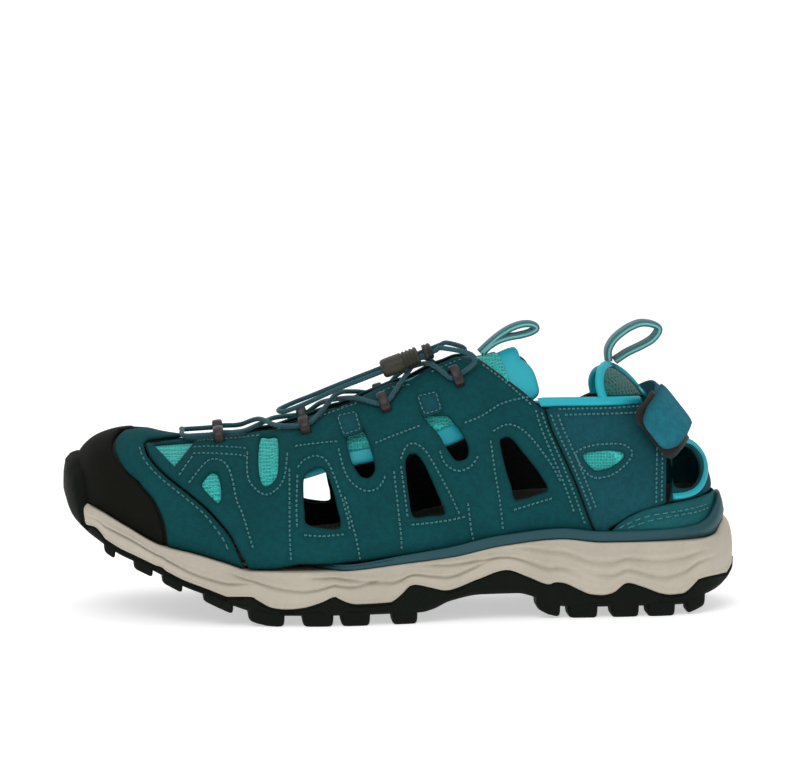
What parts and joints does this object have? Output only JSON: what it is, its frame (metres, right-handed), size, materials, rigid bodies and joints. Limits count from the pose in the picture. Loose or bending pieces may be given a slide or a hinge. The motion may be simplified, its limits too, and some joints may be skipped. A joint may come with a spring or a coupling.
{
  "type": "sport sandal",
  "caption": "Left closed-toe strappy sport sandal: lugged outsole, beige midsole, teal cut-out upper, elastic lace with cord lock, heel strap.",
  "frame": {"origin": "centre of the footprint box on the ground", "axes": "toe toward -X, heel +X, lateral side -Y, up +Z, ground at z = 0"},
  "size_m": [0.276, 0.1, 0.1176],
  "materials": {
    "rubber_black": "matte moulded",
    "foam_beige": "matte moulded foam",
    "frame_teal": "satin",
    "bed_brown": "brushed textile",
    "shank_steel": "satin",
    "board": "fibre board",
    "suede_teal": "brushed nubuck",
    "suede_blue": "brushed nubuck",
    "smooth_turquoise": "smooth satin",
    "mesh_turquoise": "open knit",
    "lining_black": "matte",
    "stiffener": "matte",
    "lock_olive": "moulded",
    "keeper_brown": "moulded",
    "lace_blue": "braided",
    "webbing": "woven with a mint centre stripe"
  },
  "bodies": {
    "shoe": {"outsole": "rubber_black", "midsole": "foam_beige", "shank": "shank_steel", "insole_board": "board", "foot_frame": "frame_teal", "toe_cap": "rubber_black", "toe_puff": "stiffener", "vamp": "suede_teal", "vamp_lining": "lining_black", "heel_sling": "smooth_turquoise", "heel_counter": "stiffener", "heel_patch": "suede_teal", "heel_strap": "suede_teal", "strap_loop_patch": "lining_black", "lace": "lace_blue", "upper_lateral": "suede_teal", "upper_medial": "suede_teal", "lining_lateral": "lining_black", "lining_medial": "lining_black", "quarter_lateral": "suede_blue", "quarter_medial": "suede_blue", "vamp_mesh_lateral": "mesh_turquoise", "vamp_mesh_medial": "mesh_turquoise", "toe_vent_mesh_lateral": "mesh_turquoise", "toe_vent_mesh_medial": "mesh_turquoise", "instep_mesh_lateral": "mesh_turquoise", "instep_mesh_medial": "mesh_turquoise", "quarter_mesh_lateral": "mesh_turquoise", "quarter_mesh_medial": "mesh_turquoise", "collar_roll_lateral": "smooth_turquoise", "collar_roll_medial": "smooth_turquoise", "keeper_lateral_1": "keeper_brown", "keeper_lateral_2": "keeper_brown", "keeper_lateral_3": "keeper_brown", "keeper_lateral_4": "keeper_brown", "keeper_anchor_lateral_1": "suede_blue", "keeper_anchor_lateral_2": "suede_blue", "keeper_medial_1": "keeper_brown", "keeper_medial_2": "keeper_brown", "keeper_medial_3": "keeper_brown", "keeper_medial_4": "keeper_brown", "keeper_anchor_medial_1": "suede_blue", "keeper_anchor_medial_2": "suede_blue"},
    "footbed": {"footbed": "bed_brown"},
    "tongue": {"tongue": "smooth_turquoise", "tongue_mesh": "mesh_turquoise"},
    "tongue_loop": {"tongue_pull_loop": "webbing"},
    "heel_loop": {"heel_pull_loop": "webbing"},
    "strap_tab": {"heel_strap_tab": "suede_blue", "strap_hook_patch": "lining_black"},
    "cord_lock": {"cord_lock_barrel": "lock_olive"},
    "lock_button": {"cord_lock_button": "lock_olive"}
  },
  "joints": [
    {"name": "tongue_hinge", "type": "hinge", "parent": "shoe", "child": "tongue", "pos_m": [-0.086, 0.00238, 0.066], "axis": [0, 1, 0], "range_deg": [0, 4]},
    {"name": "tongue_loop_hinge", "type": "hinge", "parent": "tongue", "child": "tongue_loop", "pos_m": [0.03224, -0.00042, 0.1058], "axis": [0, 1, 0], "range_deg": [-75, 0]},
    {"name": "heel_loop_hinge", "type": "hinge", "parent": "shoe", "child": "heel_loop", "pos_m": [0.08614, 0.00238, 0.10137], "axis": [0, 1, 0], "range_deg": [-70, 30]},
    {"name": "strap_tab_hinge", "type": "hinge", "parent": "shoe", "child": "strap_tab", "pos_m": [0.1121, -0.01319, 0.08324], "axis": [-0.6198, 0, 0.7848], "range_deg": [0, 110]},
    {"name": "cord_lock_slide", "type": "slide", "parent": "shoe", "child": "cord_lock", "axis": [-0.9336, 0, -0.3584], "range_m": [0, 0.012]},
    {"name": "lock_button_slide", "type": "slide", "parent": "cord_lock", "child": "lock_button", "axis": [-0.9336, 0, -0.3584], "range_m": [0, 0.0017]},
    {"name": "footbed_lift", "type": "hinge", "parent": "shoe", "child": "footbed", "pos_m": [-0.126, 0.00838, 0.047], "axis": [0, -1, 0], "range_deg": [0, 1]}
  ]
}
